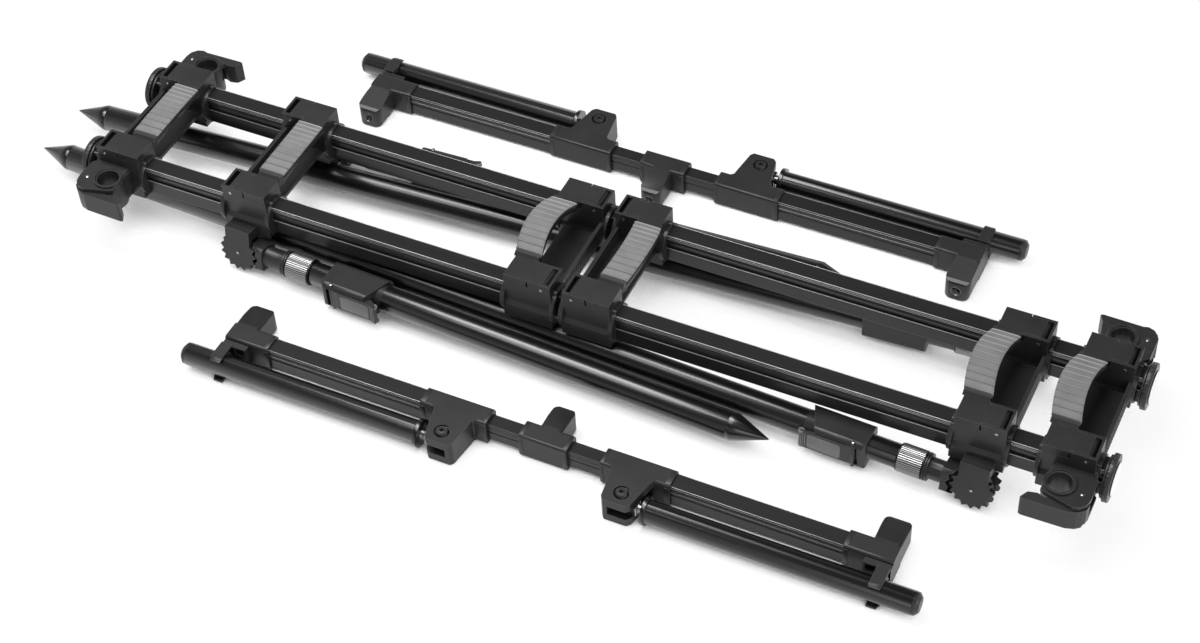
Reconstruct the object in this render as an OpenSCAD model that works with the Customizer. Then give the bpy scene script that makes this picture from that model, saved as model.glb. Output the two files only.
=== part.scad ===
// Rod pod, packed for carrying: twin telescopic rails, six quick-lever bridges,
// four folding legs and two buzz bars with folding posts laid beside it.
// X runs along the rails, Y across them, Z up; the ground is z = 0.

/* [Rails] */
// Distance between the two rail centre lines
rail_gap = 99.2; // [96:0.2:104]
// Width of an outer rail
rail_w = 15.4; // [15:0.2:16]
// Height of an outer rail
rail_h = 28; // [27:0.5:29]
// Length of one outer rail half, end cap to middle
rail_len = 447; // [445:1:460]
// Gap between the two outer rail halves at the middle
rail_split = 6; // [4:0.5:10]
// Height of the underside of the rails over the ground
rail_z = 35.2; // [35:0.1:36]
// Diameter of a rail end cap
cap_d = 38; // [34:1:40]

/* [Bridges] */
// How far bridges 1 and 2 stand in from the left end of the rails
left_bridges = [30, 156.7];
// How far bridges 5 and 6 stand in from the right end of the rails
right_bridges = [95.5, 26.9];
// How far bridges 3 and 4 stand from the middle of the pod
middle_bridge = 26.3; // [25:0.1:40]
// Length of a bridge block along the rail
block_len = 41.6; // [41:0.2:42]
// Width of a bridge block across the rail
block_w = 23.9; // [23:0.1:25]
// Height of the block tops over the ground
block_top = 77; // [76:0.5:78]
// Height of the block undersides over the ground
block_z = 33; // [32.5:0.1:33.2]
// Thickness of the trough floor and of its wall
trough_t = 3; // [2.5:0.5:4]

/* [Quick levers] */
// Length of a grip across the pod
grip_len = 64.6; // [60:0.2:70]
// Width of a grip
grip_w = 23.4; // [20:0.2:24]
// How far the middle of a grip bows outward
grip_bow = 4.4; // [3:0.2:6]
// How far the middle of a grip arches upward
grip_arch = 6.4; // [4:0.2:7]
// Diameter of a lever pin
lever_pin_d = 2.8; // [2.5:0.1:3.2]

/* [Legs] */
// Height of the leg axis over the ground
leg_z = 18.4; // [18.4:0.1:18.8]
// Distance of a leg hub from the middle of the pod
hub_y = 70.1; // [69.5:0.1:71]
// Tip radius of a toothed hub cheek
hub_r = 18; // [17:0.1:18]
// Outward lean of the fold axis, which splays the legs when they open
leg_tilt = 10; // [4:1:10]
// Outer radius of the outer leg tube
leg_r = 11.5; // [11.3:0.1:11.8]
// Outer radius of the inner leg tube
inner_r = 10; // [9.5:0.1:10]
// Reach of a short leg from hub to spike tip
short_leg = 494; // [480:1:520]
// Reach of a long leg from hub to spike tip
long_leg = 890; // [860:1:900]
// Length of a spike
spike_len = 29; // [20:1:32]

/* [Post sockets] */
// Bore radius of a post socket
socket_r = 9.6; // [9.56:0.01:9.7]
// Distance of a socket axis from the middle of the pod
socket_y = 79.4; // [79:0.1:81]
// Height of the socket rims over the ground
socket_top = 61.5; // [60:0.5:62]

/* [Buzz bars] */
// Distance of a buzz bar axis from the middle of the pod
bar_y = 161; // [155:1:170]
// Offset of the near bar along the rails
near_bar_x = 38; // [20:1:45]
// Offset of the far bar along the rails
far_bar_x = -6; // [-20:1:20]
// Distance from the middle of a bar to its outer threaded ends
bar_end = 280; // [275:1:285]
// Distance from the middle of a bar to a post bolt
bolt_x = 78; // [76:0.5:80]
// Distance from a bar axis to the post axes
post_off = 28.5; // [28.3:0.1:29]
// Outer radius of a post
post_r = 9.5; // [9.3:0.05:9.5]
// Length of a post from its bolt to its rounded end
post_len = 242; // [236:1:250]
// Radius of the tapped 3/8 inch BSF hole before threading
thread_r = 4.15; // [4.1:0.05:4.3]
// Height of the threaded holes over the ground
hole_z = 9.8; // [9:0.1:10.5]

/* [Hidden] */
$fn = 64;
tiny = 0.05;
half_gap = rail_gap / 2;
half_block = block_len / 2;
rail_mid_z = rail_z + rail_h / 2;
rail_out = rail_split / 2 + rail_len;
// Places of the six bridges along the rails, from the left
bridge_x = [-rail_out + left_bridges[0], -rail_out + left_bridges[1], -middle_bridge, middle_bridge,
    rail_out - right_bridges[0], rail_out - right_bridges[1]];
collar_t = 2.6;
lever_t = 7;
pin_x = 12.8;
pin_z = block_top - 5.7;
cheek_in = 5.2;
cheek_t = 4;
tongue_h = 4.7;
fit = 0.05;
slide_gap = 0.2;
inner_w = 8.6;
inner_h = 24;
bar_h = 24;
bar_w = 18;
arm_w = 14.8;
arm_h = 20.4;
core_w = 12.4;
core_h = 17;
post_z = bar_h / 2;
jaw_r = 9.8;
tooth_count = 15;
core_half = 200;
// Bracket of an arm along the bar, around its bolt
bracket_from = bolt_x - 28;
bracket_to = bolt_x + 31;
// Knurled ring of each leg, and the flange before it
ring_from = [47.8, 40.2, 47.8, 40.2];
ring_to = [71.5, 62.3, 71.5, 62.3];
flange_t = [4.4, 3.1, 4.4, 3.1];
// Pin place of each flip lock along its leg, and its length from there
lock_at = [100, 96, 100, 96];
lock_len = 43.6;
lock_low = 14.5;
// Outer edge and pin place of each flip lock; those of the long legs are slimmer to pass the short ones
lock_edge = [18, 14.6, 18, 14.6];
lock_y = [15.4, 12.6, 15.4, 12.6];
lock_hub_r = [2.9, 2.3, 2.9, 2.3];
lock_in = 12.6;
// What the inner tube of a short and of a long leg leaves free of its reach
short_rest = 94;
long_rest = 90;
pin_off = 18.6;
pin_out = socket_y + 4.4;
ear_t = 3.6;
// Leg order: near left, near right, far left, far right
left_hub = bridge_x[1] - 3.5;
right_hub = bridge_x[4] + 3.5;
leg_at = [[left_hub, -1], [right_hub, -1], [left_hub, 1], [right_hub, 1]];
leg_yaw = [2.5, -2.45, 2.5, -3.05];
leg_reach = [short_leg, long_leg, short_leg, long_leg];
leg_inner = [short_leg - short_rest, long_leg - long_rest, short_leg - short_rest, long_leg - long_rest];
spike_x = leg_at[1][0] - long_leg * cos(leg_yaw[1]);
x_mid = (spike_x + rail_out + 8) / 2;
// Bridges 1, 2 and 4 have their hinge on the left
hinge_side = [-1, -1, 1, -1, 1, 1];

// Helpers

module placed() {
    translate([-x_mid, 0, 0]) children();
}

module box(x0, x1, y0, y1, z0, z1) {
    translate([x0, y0, z0]) cube([x1 - x0, y1 - y0, z1 - z0]);
}

// Extrudes a YZ outline along X
module along_x(x0, x1) {
    translate([x0, 0, 0]) rotate([90, 0, 90]) linear_extrude(x1 - x0) children();
}

// Extrudes an XZ outline along Y
module along_y(y0, y1) {
    translate([0, y1, 0]) rotate([90, 0, 0]) linear_extrude(y1 - y0) children();
}

module rod_x(x0, x1, r) {
    translate([x0, 0, 0]) rotate([0, 90, 0]) cylinder(r = r, h = x1 - x0);
}

module rod_y(y0, y1, r) {
    translate([0, y0, 0]) rotate([-90, 0, 0]) cylinder(r = r, h = y1 - y0);
}

module tube_x(x0, x1, r, bore) {
    difference() {
        rod_x(x0, x1, r);
        rod_x(x0 - 1, x1 + 1, bore);
    }
}

module both_sides() {
    children();
    mirror([0, 1, 0]) children();
}

module rounded_rect(w, h, r) {
    union() {
        square([w - 2 * r, h], center = true);
        square([w, h - 2 * r], center = true);
        for (x = [-1, 1], y = [-1, 1])
            translate([x * (w / 2 - r), y * (h / 2 - r)]) circle(r);
    }
}

// A disc outline with pointed teeth
module toothed(tip, root) {
    polygon([for (i = [0 : 2 * tooth_count - 1])
        let (r = i % 2 == 0 ? tip : root, a = i * 180 / tooth_count)
        [r * cos(a), r * sin(a)]]);
}

// Rails

module outer_rail_outline() {
    w = rail_w;
    h = rail_h;
    difference() {
        union() {
            translate([0, h / 4]) rounded_rect(w, h / 2, 1.2);
            translate([0, h / 2 - 2]) square([w, 2], center = true);
            translate([-5.8, h / 2 - 3]) square([11.6, h / 2 + 3]);
            translate([-w / 2 + 0.4, h - 0.9]) square([w - 0.8, 0.9]);
            translate([-w / 2 + 0.2, h - 2.3]) square([w - 0.4, 1]);
            translate([-w / 2 + 0.9, h - 5]) square([w - 1.8, 5]);
            for (side = [-1, 1]) translate([side * 5.6, h - 7]) circle(1.9);
        }
        translate([0, h / 2]) square([inner_w + 2 * slide_gap, inner_h + 2 * slide_gap], center = true);
    }
}

module outer_rails(x0, x1) {
    color([0.14, 0.14, 0.15])
    for (side = [-1, 1])
        translate([0, side * half_gap, rail_z]) along_x(x0, x1) outer_rail_outline();
}

module left_outer_rails() {
    placed() outer_rails(-rail_out, -rail_split / 2);
}

module right_outer_rails() {
    placed() outer_rails(rail_split / 2, rail_out);
}

module inner_rails() {
    placed() color([0.2, 0.2, 0.21])
    for (side = [-1, 1])
        translate([0, side * half_gap, rail_mid_z])
        along_x(-rail_out + 20, rail_out - 20) difference() {
            rounded_rect(inner_w, inner_h, 0.8);
            rounded_rect(inner_w - 3, inner_h - 3, 0.5);
        }
}

// One round stepped cap with a plug in the rail and a plain disc on its face
module end_cap() {
    translate([-14, -3.9, -11.6]) cube([14.5, 7.8, 23.2]);
    rod_x(0.2, 1.9, cap_d / 2 - 2);
    rod_x(1.8, 2.5, cap_d / 2 - 3.5);
    rod_x(2.4, 7, cap_d / 2);
    rod_x(6.9, 8, cap_d / 2 - 5.2);
}

module end_caps(dir) {
    color([0.1, 0.1, 0.1])
    for (side = [-1, 1])
        translate([dir * rail_out, side * half_gap, rail_mid_z])
        mirror([dir < 0 ? 1 : 0, 0, 0]) end_cap();
}

module left_end_caps() {
    placed() end_caps(-1);
}

module right_end_caps() {
    placed() end_caps(1);
}

// Bridges: drawn with the hinge towards +X and the grip towards -X

module block_outline_across() {
    w = block_w / 2;
    polygon([[-w, block_top], [w, block_top], [w, block_z + 17], [w + 2.6, block_z + 13],
        [w + 2.6, block_z], [-w - 1.6, block_z], [-w - 1.6, block_z + 13], [-w, block_z + 17]]);
}

module block_outline_along() {
    l = half_block;
    polygon([[-l, block_top], [l, block_top], [l, block_z + 17], [l + 0.9, block_z + 13],
        [l + 0.9, block_z], [-l - 0.9, block_z], [-l - 0.9, block_z + 13], [-l, block_z + 17]]);
}

// The pocket that the lever plate drops into, and its round heel
module lever_pocket() {
    w = block_w / 2;
    floor_z = block_top - lever_t - 0.3;
    box(-half_block - 2, 0.8, -w - 3, w + 3, floor_z, block_top + 1);
    box(0.5, 18.9, -w + 2.3, w - 2.3, floor_z, block_top + 1);
    translate([pin_x, 0, pin_z]) rod_y(-w + 2.3, w - 2.3, 5.1);
}

// One clamp block at the middle of its rail
module clamp_block() {
    w = block_w / 2;
    difference() {
        union() {
            intersection() {
                along_x(-half_block - 1, half_block + 1) block_outline_across();
                along_y(-w - 3, w + 3) block_outline_along();
            }
            for (side = [-1, 1]) {
                translate([side * (half_block + collar_t / 2), 0, rail_mid_z])
                    rod_x(-collar_t / 2 - 0.5, collar_t / 2 + 0.5, 16.4);
                translate([side * (half_block + 1), 4.5, rail_mid_z + 15.6])
                    rod_x(side < 0 ? -2.1 : -1, side < 0 ? 1 : 2.1, 2.4);
            }
        }
        box(-half_block - 5, half_block + 5, -rail_w / 2 - slide_gap, rail_w / 2 + slide_gap,
            rail_z - slide_gap, rail_z + rail_h + slide_gap);
        lever_pocket();
        translate([pin_x, 0, pin_z]) rod_y(-w - 4, w + 4, lever_pin_d / 2 + tiny);
    }
    color("silver") translate([pin_x, 0, pin_z]) rod_y(-w - 0.3, w + 0.3, lever_pin_d / 2);
}

module trough() {
    y1 = half_gap - block_w / 2 + 0.5;
    box(-15.5, half_block, -y1, y1, 44, 44 + trough_t);
    box(half_block - trough_t, half_block, -y1, y1, 44, block_top - 16);
}

module plain_bridge() {
    color([0.17, 0.17, 0.18]) {
        trough();
        both_sides() translate([0, half_gap, 0]) clamp_block();
    }
}

// Post socket with ears for its cam lever, beside the block on +Y
module post_socket() {
    edge = half_gap + block_w / 2 - 1;
    color([0.17, 0.17, 0.18])
    difference() {
        union() {
            translate([0, socket_y, 36]) cylinder(r = socket_r + 3.4, h = socket_top - 36);
            translate([0, socket_y, socket_top - 2]) cylinder(r = socket_r + 2, h = 2.8);
            box(-10.5, 12, edge, socket_y - 5, 36, socket_top - 1.6);
            translate([0, 0, 36]) linear_extrude(4.6) union() {
                translate([pin_off, pin_out]) circle(7);
                polygon([[-4, socket_y + 11.5], [pin_off, pin_out + 7], [pin_off + 7, pin_out],
                    [pin_off + 7, edge + 4], [18, edge], [-4, edge]]);
            }
            translate([0, 0, socket_top - ear_t]) linear_extrude(ear_t)
                polygon([[-11.6, socket_y + 10.4], [-8, socket_y + 12.6], [15.4, pin_out + 14],
                    [20.4, pin_out + 12.4], [24.4, pin_out + 8], [25.8, pin_out + 2], [pin_off + 7, edge + 6],
                    [20, edge], [-9, edge]]);
        }
        translate([0, socket_y, 30]) cylinder(r = socket_r, h = 40);
        translate([0, socket_y, socket_top])
            cylinder(r1 = socket_r, r2 = socket_r + 0.9, h = 0.9);
        translate([pin_off, pin_out, 40.6]) cylinder(r = 6.4, h = socket_top - ear_t - 40.6);
        translate([pin_off, pin_out, 30]) cylinder(r = 1.5 + tiny, h = 40);
    }
    color("silver") translate([pin_off, pin_out, 35.8]) cylinder(r = 1.5, h = socket_top - 35.6);
}

// Two toothed cheeks on a strap, around the fold axis of a leg
module hub_cheeks() {
    y1 = cheek_in + cheek_t;
    color([0.13, 0.13, 0.14])
    difference() {
        union() {
            for (y0 = [-y1, cheek_in]) {
                along_y(y0, y0 + cheek_t) toothed(hub_r, hub_r - 3.4);
                box(-12, 12, y0, y0 + cheek_t, 0, 22);
            }
            box(-12, 12, -y1, y1, 15, 24);
            box(-12, 12, -y1 - 6, 0, 16.5, 24);
        }
        rod_y(-20, 20, 1.5 + tiny);
    }
    color("silver") rod_y(-y1 - 0.2, y1 + 0.5, 1.5);
}

// Moves a leg drawn from its hub along +X, outer side +Y, to its place
module at_leg(i, tilt = 0) {
    side = leg_at[i][1];
    left = leg_at[i][0] < 0;
    translate([leg_at[i][0], side * hub_y, leg_z])
        mirror([left ? 0 : 1, 0, 0]) mirror([0, side < 0 ? 1 : 0, 0])
        rotate([0, 0, leg_yaw[i]]) rotate([tilt, 0, 0]) children();
}

module bridge(i) {
    s = hinge_side[i];
    placed() translate([bridge_x[i], 0, 0]) mirror([s < 0 ? 1 : 0, 0, 0]) plain_bridge();
}

module socket_bridge(i) {
    bridge(i);
    placed() translate([bridge_x[i], 0, 0])
        mirror([hinge_side[i] < 0 ? 1 : 0, 0, 0]) both_sides() post_socket();
}

module leg_bridge(i, legs) {
    bridge(i);
    placed() for (k = legs) difference() {
        at_leg(k, leg_tilt) hub_cheeks();
        for (side = [-1, 1])
            box(-long_leg, long_leg, side * half_gap - rail_w / 2 - slide_gap, side * half_gap + rail_w / 2 + slide_gap,
                rail_z - slide_gap, rail_z + rail_h);
    }
}

module bridge_1() {
    socket_bridge(0);
}

module bridge_2() {
    leg_bridge(1, [0, 2]);
}

module bridge_3() {
    bridge(2);
}

module bridge_4() {
    bridge(3);
}

module bridge_5() {
    leg_bridge(4, [1, 3]);
}

module bridge_6() {
    socket_bridge(5);
}

// Quick levers

grip_r = (pow(grip_len / 2, 2) + pow(grip_bow, 2)) / (2 * grip_bow);
arch_r = (pow(grip_len / 2, 2) + pow(grip_arch, 2)) / (2 * grip_arch);
grip_top = block_top + 3.2 + grip_arch;

// The bowed plan of a grip, shrunk by an inset
module grip_plan(inset) {
    intersection() {
        difference() {
            translate([grip_r - grip_w - grip_bow + inset, 0]) circle(grip_r, $fn = 128);
            translate([grip_r - grip_bow - inset, 0]) circle(grip_r, $fn = 128);
        }
        translate([-40, -grip_len / 2]) square([60, grip_len]);
    }
}

// An arched band between two depths below the top of the grip
module arched_band(depth0, depth1, inset) {
    intersection() {
        translate([0, 0, block_top - 20]) linear_extrude(40) grip_plan(inset);
        translate([0, 0, grip_top - arch_r]) difference() {
            rod_x(-40, 20, arch_r - depth0);
            rod_x(-41, 21, arch_r - depth1);
        }
        box(-40, 20, -grip_len / 2, grip_len / 2, block_top - 20, block_top + 20);
    }
}

// Lever plate over one block, with its round heel on the pin
module lever_plate() {
    w = block_w / 2;
    difference() {
        union() {
            difference() {
                box(-half_block, 0.6, -w, w, block_top - lever_t, block_top);
                translate([pin_x, 0, pin_z]) rod_y(-w - 1, w + 1, 13.65);
            }
            box(-1.5, 13.6, -w + 2.6, w - 2.6, block_top - lever_t, block_top);
            translate([pin_x, 0, pin_z]) rod_y(-w + 2.6, w - 2.6, 4.8);
        }
        translate([pin_x, 0, pin_z]) rod_y(-w - 1, w + 1, lever_pin_d / 2 + fit);
    }
}

module lever(i) {
    y0 = grip_len / 2;
    y1 = half_gap - block_w / 2 + 0.4;
    placed() translate([bridge_x[i], 0, 0]) mirror([hinge_side[i] < 0 ? 1 : 0, 0, 0])
    color([0.18, 0.18, 0.19]) {
        arched_band(4, 8, 0.8);
        both_sides() {
            translate([0, half_gap, 0]) lever_plate();
            translate([0, 0, block_top - lever_t]) linear_extrude(lever_t)
                polygon([[-half_block, y1], [-0.4, y1], [-1.6, y0 + 0.1], [-grip_w + 0.6, y0 + 0.1]]);
            box(-grip_w + 1.6, -2.8, y0 - 1.1, y0 + 1, block_top - lever_t, block_top - 1.7);
            along_x(-grip_w + 0.8, -1.2)
                polygon([[y0 + 0.3, block_top - 1], [y0 + 0.3, block_top + 2.6],
                    [y0 + 3.4, block_top + 2.2], [y1, block_top], [y1, block_top - 1]]);
        }
    }
}

module grip(i) {
    placed() translate([bridge_x[i], 0, 0]) mirror([hinge_side[i] < 0 ? 1 : 0, 0, 0])
    color([0.52, 0.52, 0.52]) arched_band(0, 4, 0);
}

// Cam levers of the post sockets, drawn beside a +Y socket

module post_clamp_lever() {
    top = socket_top - ear_t - 0.3;
    color([0.15, 0.15, 0.16])
    difference() {
        union() {
            translate([pin_off, pin_out, 41]) cylinder(r = 5.9, h = top - 41);
            translate([0, 0, 41]) linear_extrude(top - 41)
                polygon([[pin_off - 5.2, pin_out + 2.8], [pin_off + 5.8, pin_out + 1], [pin_off + 7.4, pin_out + 3.6],
                    [pin_off + 6.6, pin_out + 9], [pin_off + 4, pin_out + 12], [pin_off - 8, pin_out + 12]]);
            translate([0, 0, 38.4]) linear_extrude(top - 38.4)
                polygon([[-23.6, pin_out + 16.2], [-19.8, pin_out + 9.4], [-12.6, pin_out + 7.8],
                    [-8, pin_out + 9.5], [pin_off + 2, pin_out + 9.5], [pin_off + 5.4, pin_out + 8.2],
                    [pin_off + 4.6, pin_out + 11.4], [pin_off + 0.6, pin_out + 14.6],
                    [pin_off - 6, pin_out + 16.6], [-21.4, pin_out + 17.2]]);
        }
        translate([pin_off, pin_out, 30]) cylinder(r = 1.5 + fit, h = 40);
    }
}

module post_clamp(i, side) {
    placed() translate([bridge_x[i], 0, 0]) mirror([hinge_side[i] < 0 ? 1 : 0, 0, 0])
        mirror([0, side < 0 ? 1 : 0, 0]) post_clamp_lever();
}

// Legs: drawn from the hub along +X, outer side +Y

module leg_knuckle(i) {
    tongue = cheek_in - 0.3;
    flange = ring_from[i] - 0.4 - flange_t[i];
    placed() {
        at_leg(i, leg_tilt) color([0.15, 0.15, 0.16]) difference() {
            union() {
                rod_y(-tongue, tongue, 13.5);
                box(0, 20, -tongue, tongue, -9, 9);
                intersection() {
                    box(13, 25, -10.4, 10.4, -11.4, 11.4);
                    rod_x(12, 26, 13.6);
                }
                rod_x(24, flange + 0.5, 8.8);
                rod_x(flange, flange + flange_t[i] * 0.45, 11.2);
                rod_x(flange + flange_t[i] * 0.4, flange + flange_t[i] * 0.7, 10);
                rod_x(flange + flange_t[i] * 0.6, flange + flange_t[i], 11.5);
                rod_x(flange + flange_t[i] - 0.2, ring_to[i] + 10, inner_r - 1.6);
            }
            rod_y(-20, 20, 1.5 + fit);
            for (y0 = [-12.3, tongue])
                along_y(y0, y0 + 12.3 - tongue) toothed(hub_r + 3, hub_r + 0.6);
        }
        at_leg(i) color([0.1, 0.1, 0.1])
            tube_x(flange + flange_t[i] + 0.2, leg_inner[i], inner_r, inner_r - 1.5);
    }
}

module leg_ring(i) {
    placed() at_leg(i) color("silver") difference() {
        union() {
            rod_x(ring_from[i], ring_to[i], 11.4);
            rod_x(ring_from[i] + 1.2, ring_to[i] - 1.2, 11.7);
        }
        rod_x(ring_from[i] - 1, ring_to[i] + 1, inner_r + fit + 0.03);
    }
}

// Flip-lock body, tube and spike of the outer leg
module leg_outer(i) {
    reach = leg_reach[i];
    edge = lock_edge[i];
    lock_x = lock_at[i];
    lock_end = lock_x + lock_len;
    placed() at_leg(i) {
        color([0.14, 0.14, 0.15]) difference() {
            intersection() {
                along_x(lock_x - 11, lock_end + 1) translate([(edge - 12.2) / 2, 6.35 - lock_low / 2])
                    rounded_rect(edge + 12.2, lock_low + 12.7, 4.5);
                translate([0, 0, -20]) linear_extrude(40)
                    polygon([[lock_x - 10, -15], [lock_x - 10, edge - 3], [lock_x - 7, edge + 1],
                        [lock_end - 12, edge + 1], [lock_end, -13], [lock_end, -15]]);
            }
            rod_x(lock_x - 12, lock_x + 3.9, inner_r + fit);
            rod_x(lock_x + 3.8, lock_end + 26, leg_r + tiny);
            box(lock_x - 4.9, lock_end + 26, 12.1, 30, 4 - lock_low, 8.6);
            translate([lock_x, lock_y[i], 4 - lock_low])
                cylinder(r = lock_hub_r[i] + 0.3, h = 4.6 + lock_low);
            translate([lock_x, lock_y[i], -30]) cylinder(r = 1.2 + tiny, h = 60);
        }
        color("silver") translate([lock_x, lock_y[i], -lock_low - 0.2]) cylinder(r = 1.2, h = lock_low + 13.3);
        color([0.1, 0.1, 0.1]) tube_x(lock_x + 3.9, reach - spike_len - 4, leg_r, inner_r + 0.3);
        color([0.1, 0.1, 0.1]) {
            rod_x(reach - spike_len - 20, reach - spike_len, inner_r + 0.2);
            rod_x(reach - spike_len - 3.9, reach - spike_len, leg_r);
            translate([reach - spike_len, 0, 0]) rotate([0, 90, 0])
                cylinder(r1 = leg_r, r2 = 0.5, h = spike_len);
        }
    }
}

module leg_lock(i) {
    edge = lock_edge[i];
    lock_x = lock_at[i];
    lock_end = lock_x + lock_len;
    lip = edge > 16 ? 3 : 1.2;
    placed() at_leg(i) color([0.3, 0.3, 0.31]) difference() {
        union() {
            translate([lock_x, lock_y[i], 4.3 - lock_low]) cylinder(r = lock_hub_r[i], h = 4 + lock_low);
            translate([0, 0, 4.3 - lock_low]) linear_extrude(4 + lock_low)
                polygon([[lock_x - 0.5, lock_in], [lock_x + 0.5, edge], [lock_x + 7.6, edge + 1.1],
                    [lock_end - 6, edge + 1.1], [lock_end, edge + lip], [lock_end + 1.4, edge],
                    [lock_end - 5, lock_in + 1], [lock_end - 16, lock_in - 0.1]]);
        }
        translate([lock_x, lock_y[i], -30]) cylinder(r = 1.2 + fit, h = 60);
    }
}

// Buzz bars: drawn with the pod towards -Y, the posts towards +Y

// Sleeve outline with soft upper edges, from the ground up
module bar_sleeve_outline() {
    translate([0, bar_h / 2]) rounded_rect(bar_w, bar_h, 2.4);
}

module profile_outline(w, h) {
    difference() {
        translate([0, post_z]) rounded_rect(w, h, 0.8);
        for (side = [-1, 1]) {
            translate([side * (w / 2 + 0.1), post_z + 0.6]) circle(0.9);
            translate([side * (w / 2 + 0.1), post_z + h / 2 - 3.4]) circle(0.45);
        }
    }
}

// A threaded end that points to the pod
module threaded_boss(w, reach) {
    difference() {
        intersection() {
            along_y(-reach, 4) translate([0, bar_h / 2 + 0.2]) rounded_rect(w, bar_h - 0.4, 3);
            along_x(-w / 2 - 1, w / 2 + 1) polygon([[-reach - 1, -1], [-reach - 1, 15.8], [-reach + 1.2, 18.6],
                [-reach + 4, 19.8], [-9, bar_h + 0.1], [5, bar_h + 0.1], [5, -1]]);
            translate([0, 0, -1]) linear_extrude(30) union() {
                translate([-w / 2, 7.5 - reach]) square([w, reach]);
                translate([0, 7.5 - reach]) rounded_rect(w, 15, 7);
            }
        }
        translate([0, 0, hole_z]) rod_y(-reach - 1, -reach + 20, thread_r);
        translate([0, -reach + 1.1, hole_z]) rotate([90, 0, 0])
            cylinder(r1 = thread_r, r2 = thread_r + 1.1, h = 1.2);
    }
}

module bar_core() {
    color([0.16, 0.16, 0.17]) {
        difference() {
            union() {
                along_x(-20.8, 20.8) bar_sleeve_outline();
                threaded_boss(19, 36.5);
            }
            box(-30, 30, -core_w / 2 - tiny, core_w / 2 + tiny,
                post_z - core_h / 2 - tiny, post_z + core_h / 2 + tiny);
        }
        along_x(-core_half, core_half) difference() {
            profile_outline(core_w, core_h);
            translate([0, post_z]) rounded_rect(core_w - 3.4, core_h - 3, 0.6);
        }
    }
}

// Bracket with the two ears that hold a post, on the inner end of an arm
module bar_bracket() {
    difference() {
        union() {
            along_x(bracket_from, bracket_to) bar_sleeve_outline();
            translate([0, 0, 0.3]) linear_extrude(bar_h - 0.3)
                polygon([[bolt_x - 21, 6], [bolt_x - 17, 9.6], [bolt_x - 13.4, post_off + 8.5],
                    [bolt_x - 11, post_off + 11.6], [bolt_x + 8, post_off + 11.6],
                    [bolt_x + 11, post_off + 8.5], [bolt_x + 17, 9.6], [bolt_x + 21, 6]]);
        }
        box(bracket_from - 5, bracket_from + 3, -core_w / 2 - slide_gap, core_w / 2 + slide_gap,
            post_z - core_h / 2 - slide_gap, post_z + core_h / 2 + slide_gap);
        box(bracket_from + 2.9, bracket_to + 11, -arm_w / 2 - tiny, arm_w / 2 + tiny,
            post_z - arm_h / 2 - tiny, post_z + arm_h / 2 + tiny);
        box(bolt_x - 7.6, bracket_to + 1, bar_w / 2 + 0.1, post_off + 21.5, post_z - 4.5, post_z + 4.5);
        translate([bolt_x, post_off, -5]) cylinder(r = 3 + tiny, h = 40);
        translate([bolt_x, post_off, bar_h - 1.8]) cylinder(r = 6.8, h = 3);
    }
}

// Button head bolt with its socket, through both ears
module post_bolt() {
    translate([bolt_x, post_off, 0]) difference() {
        union() {
            translate([0, 0, 0.4]) cylinder(r = 3, h = bar_h - 1.5);
            translate([0, 0, bar_h - 1.75]) cylinder(r1 = 5.6, r2 = 4.4, h = 2.9);
        }
        translate([0, 0, bar_h - 0.9]) cylinder(r = 2, h = 5, $fn = 6);
    }
}

// Open snap clip around a stowed post, joined to the outer end piece
module post_clip() {
    intersection() {
        along_x(bar_end + 0.5, bar_end + 10.5) difference() {
            union() {
                translate([post_off, post_z]) circle(jaw_r + 1.9);
                translate([12, 0.4]) square([post_off - 3, 2.2]);
                translate([post_off - 14, post_z + jaw_r]) square([17, 1.9]);
            }
            translate([post_off, post_z]) circle(jaw_r);
            translate([post_off, post_z - jaw_r]) square([20, 2 * jaw_r]);
            translate([post_off - 20, -2]) square([60, 2.3]);
        }
        translate([0, 0, -1]) linear_extrude(40)
            polygon([[bar_end, 8], [bar_end + 11, 8], [bar_end + 11, post_off + 2],
                [bar_end + 8.5, post_off + 9], [bar_end, post_off + 9]]);
    }
}

// Outer end of an arm: sleeve, threaded end and the clip that holds the post
module bar_end_piece() {
    difference() {
        union() {
            along_x(bar_end - 29, bar_end + 11) bar_sleeve_outline();
            translate([bar_end, 0, 0]) threaded_boss(22, 36.5);
            box(bar_end - 11, bar_end + 11, 0, 14.5, 0.6, 21);
            post_clip();
        }
        box(bar_end - 40, bar_end + 8, -arm_w / 2 - tiny, arm_w / 2 + tiny,
            post_z - arm_h / 2 - tiny, post_z + arm_h / 2 + tiny);
        box(bar_end - 9, bar_end - 1, 10, 20, 12.5, 19.4);
        box(bar_end + 0.4, bar_end + 9, 10, 20, 12.5, 19.4);
    }
}

module bar_arm() {
    color([0.17, 0.17, 0.18]) {
        bar_bracket();
        bar_end_piece();
    }
    color([0.13, 0.13, 0.14]) along_x(bracket_from + 3, bar_end + 8 - tiny) difference() {
        profile_outline(arm_w, arm_h);
        translate([0, post_z]) square([core_w + 2 * slide_gap, core_h + 2 * slide_gap], center = true);
    }
    color([0.2, 0.2, 0.2]) post_bolt();
}

// A post from its bolt at x = 0 along +X: eye, threaded stud, collar, tube and plug
module post() {
    color([0.13, 0.13, 0.14]) difference() {
        union() {
            cylinder(r = 6, h = 8.6, center = true);
            box(0, 14, -5, 5, -4.3, 4.3);
            rod_x(13, 19.2, 4);
            rod_x(19, 22.4, 11.8);
            rod_x(22.3, post_len - 5, post_r);
            rod_x(post_len - 5.2, post_len - 2.6, post_r - 0.4);
            translate([post_len - 2.7, 0, 0]) rotate([0, 90, 0])
                cylinder(r1 = post_r - 0.4, r2 = post_r - 3.4, h = 2.7);
        }
        translate([0, 0, -10]) cylinder(r = 3 + fit, h = 20);
        rod_x(30, post_len - 12, post_r - 1.6);
    }
}

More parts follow.
